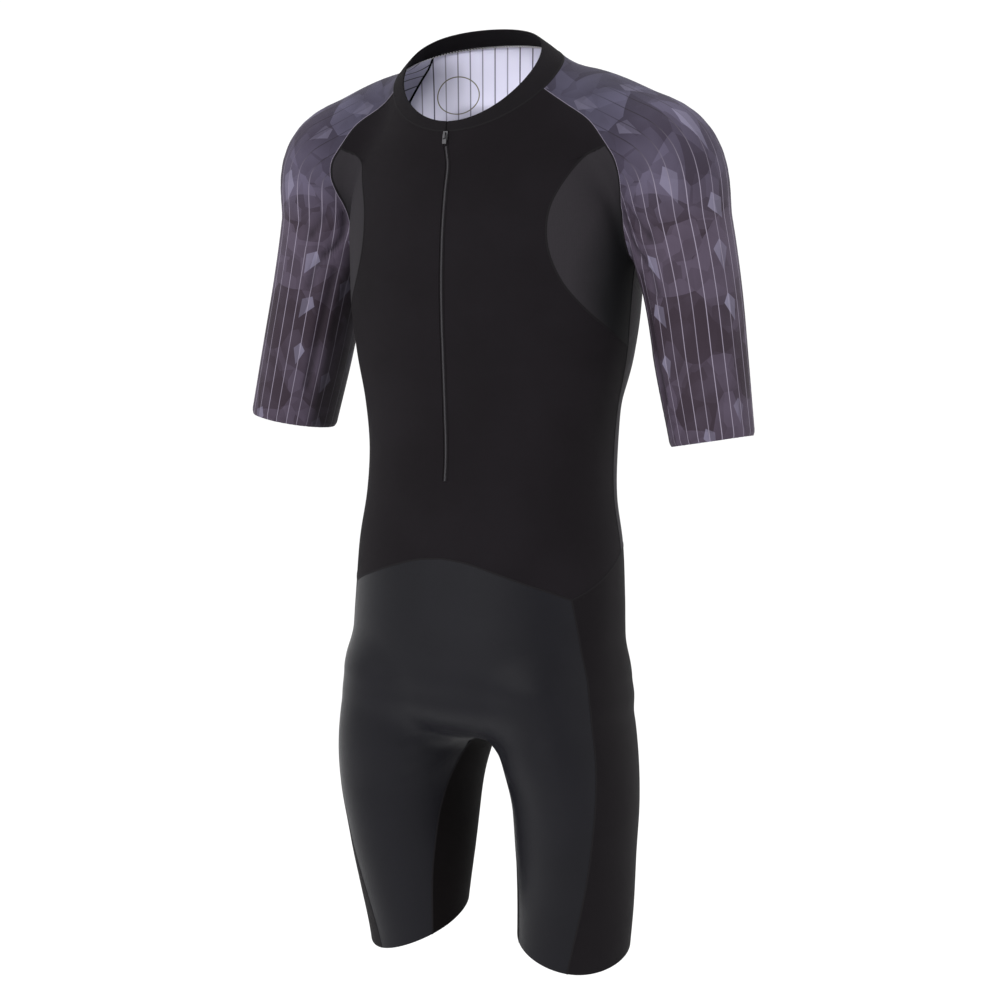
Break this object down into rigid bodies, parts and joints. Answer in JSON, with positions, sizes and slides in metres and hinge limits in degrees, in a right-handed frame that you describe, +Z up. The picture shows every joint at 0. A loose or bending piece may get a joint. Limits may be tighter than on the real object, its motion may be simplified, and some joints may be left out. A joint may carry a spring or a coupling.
{
  "type": "triathlon suit",
  "caption": "Short-sleeved one-piece triathlon suit, filled out as worn, with raglan sleeves, a low collar, a front zip and knee-length shorts.",
  "frame": {"origin": "middle of the shoulder line at the base of the neck, where the wearer carries the suit", "axes": "+Z up, the front faces -Y, the wearer's left is +X"},
  "size_m": [0.616, 0.2377, 1.02],
  "materials": {
    "black_knit": "matt black stretch knit",
    "printed_knit": "purple-grey stretch knit with thin pale stripes",
    "mesh": "grey open mesh",
    "shiny_black": "smooth blue-black knit with a sheen",
    "seat_knit": "matt black stretch knit",
    "gusset_knit": "matt black stretch knit",
    "collar_knit": "matt black folded knit",
    "zip_coil": "grey coil on tape",
    "zip_metal": "light metal"
  },
  "bodies": {
    "suit": {"collar": "collar_knit", "front_bodice": "black_knit", "back_bodice": "printed_knit", "side_insert_left": "mesh", "side_insert_right": "mesh", "sleeve_left": "printed_knit", "sleeve_right": "printed_knit", "shorts_front": "shiny_black", "seat_left": "seat_knit", "seat_right": "seat_knit", "gusset_left": "gusset_knit", "gusset_right": "gusset_knit", "zip_tape": "zip_coil", "zip_slider": "zip_metal"},
    "pull": {"zip_pull": "zip_metal"}
  },
  "joints": [
    {"name": "pull_hinge", "type": "hinge", "parent": "suit", "child": "pull", "pos_m": [0, -0.10074, -0.06556], "axis": [-1, 0, 0], "range_deg": [0, 150]}
  ]
}
